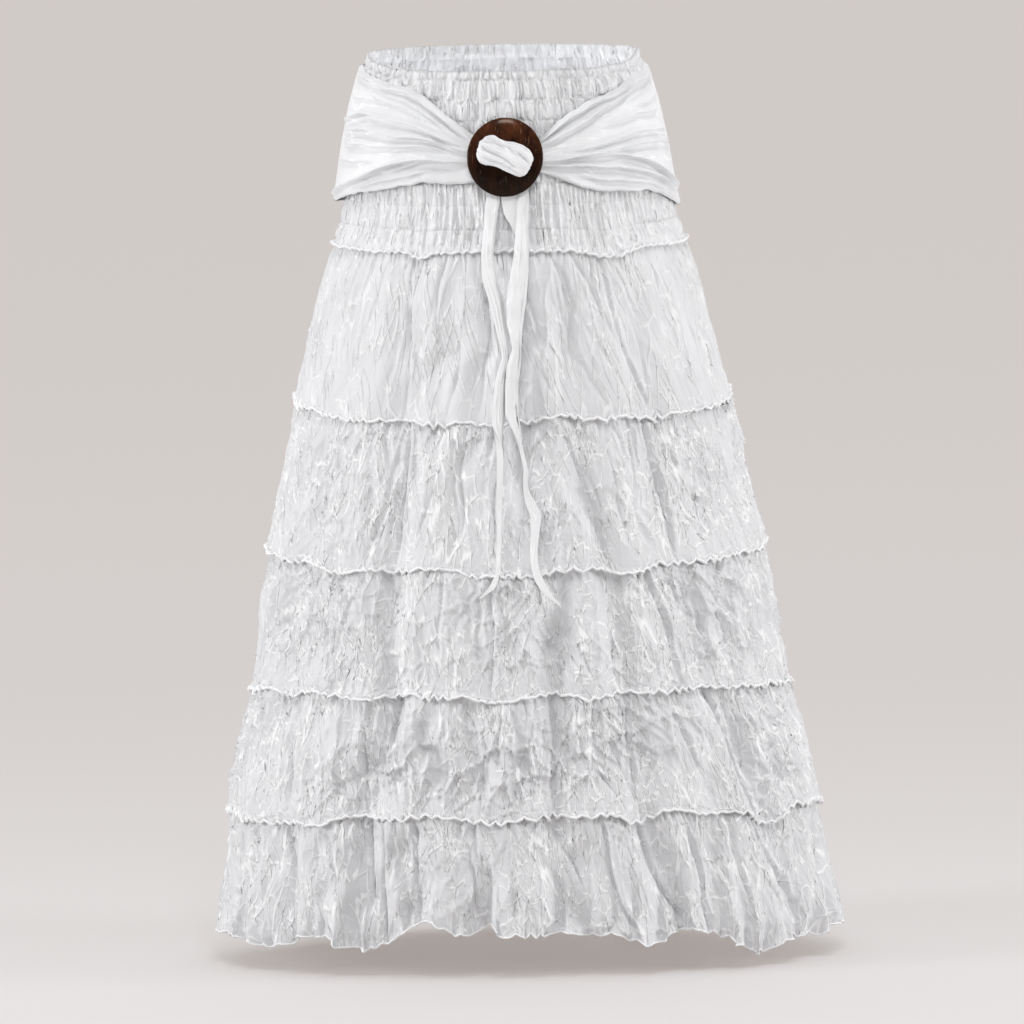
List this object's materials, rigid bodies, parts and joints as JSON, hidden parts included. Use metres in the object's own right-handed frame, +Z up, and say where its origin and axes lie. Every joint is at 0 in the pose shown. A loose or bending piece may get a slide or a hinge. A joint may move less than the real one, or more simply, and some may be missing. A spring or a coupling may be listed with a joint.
{
  "type": "tiered ruffle skirt",
  "caption": "Long white gathered skirt with a smocked waist yoke, stacked ruffle-edged tiers and a wide pleated sash drawn through a round dark shell buckle.",
  "frame": {"origin": "centre of the waist opening, level with the rim at the sides", "axes": "+Z up along the hanging skirt, the front with the buckle faces -Y, +X to the right of someone looking at the front"},
  "size_m": [0.6281, 0.4486, 0.8948],
  "materials": {
    "smocked_voile": "white shirred cotton voile, matt",
    "crinkled_voile": "white crinkled cotton voile, matt, slightly translucent",
    "sash_voile": "white crinkled cotton voile, matt",
    "coconut_shell": "polished dark brown coconut shell"
  },
  "bodies": {
    "root": {"yoke_front": "smocked_voile", "yoke_back": "smocked_voile", "buckle": "coconut_shell", "sash_left": "sash_voile", "sash_right": "sash_voile", "sash_back": "sash_voile", "sash_loop": "sash_voile", "tail_left": "sash_voile", "tail_right": "sash_voile", "tier_1_front": "crinkled_voile", "tier_1_back": "crinkled_voile", "tier_2_front": "crinkled_voile", "tier_2_back": "crinkled_voile", "tier_3_front": "crinkled_voile", "tier_3_back": "crinkled_voile", "tier_4_front": "crinkled_voile", "tier_4_back": "crinkled_voile", "tier_5_front": "crinkled_voile", "tier_5_back": "crinkled_voile"}
  },
  "joints": []
}
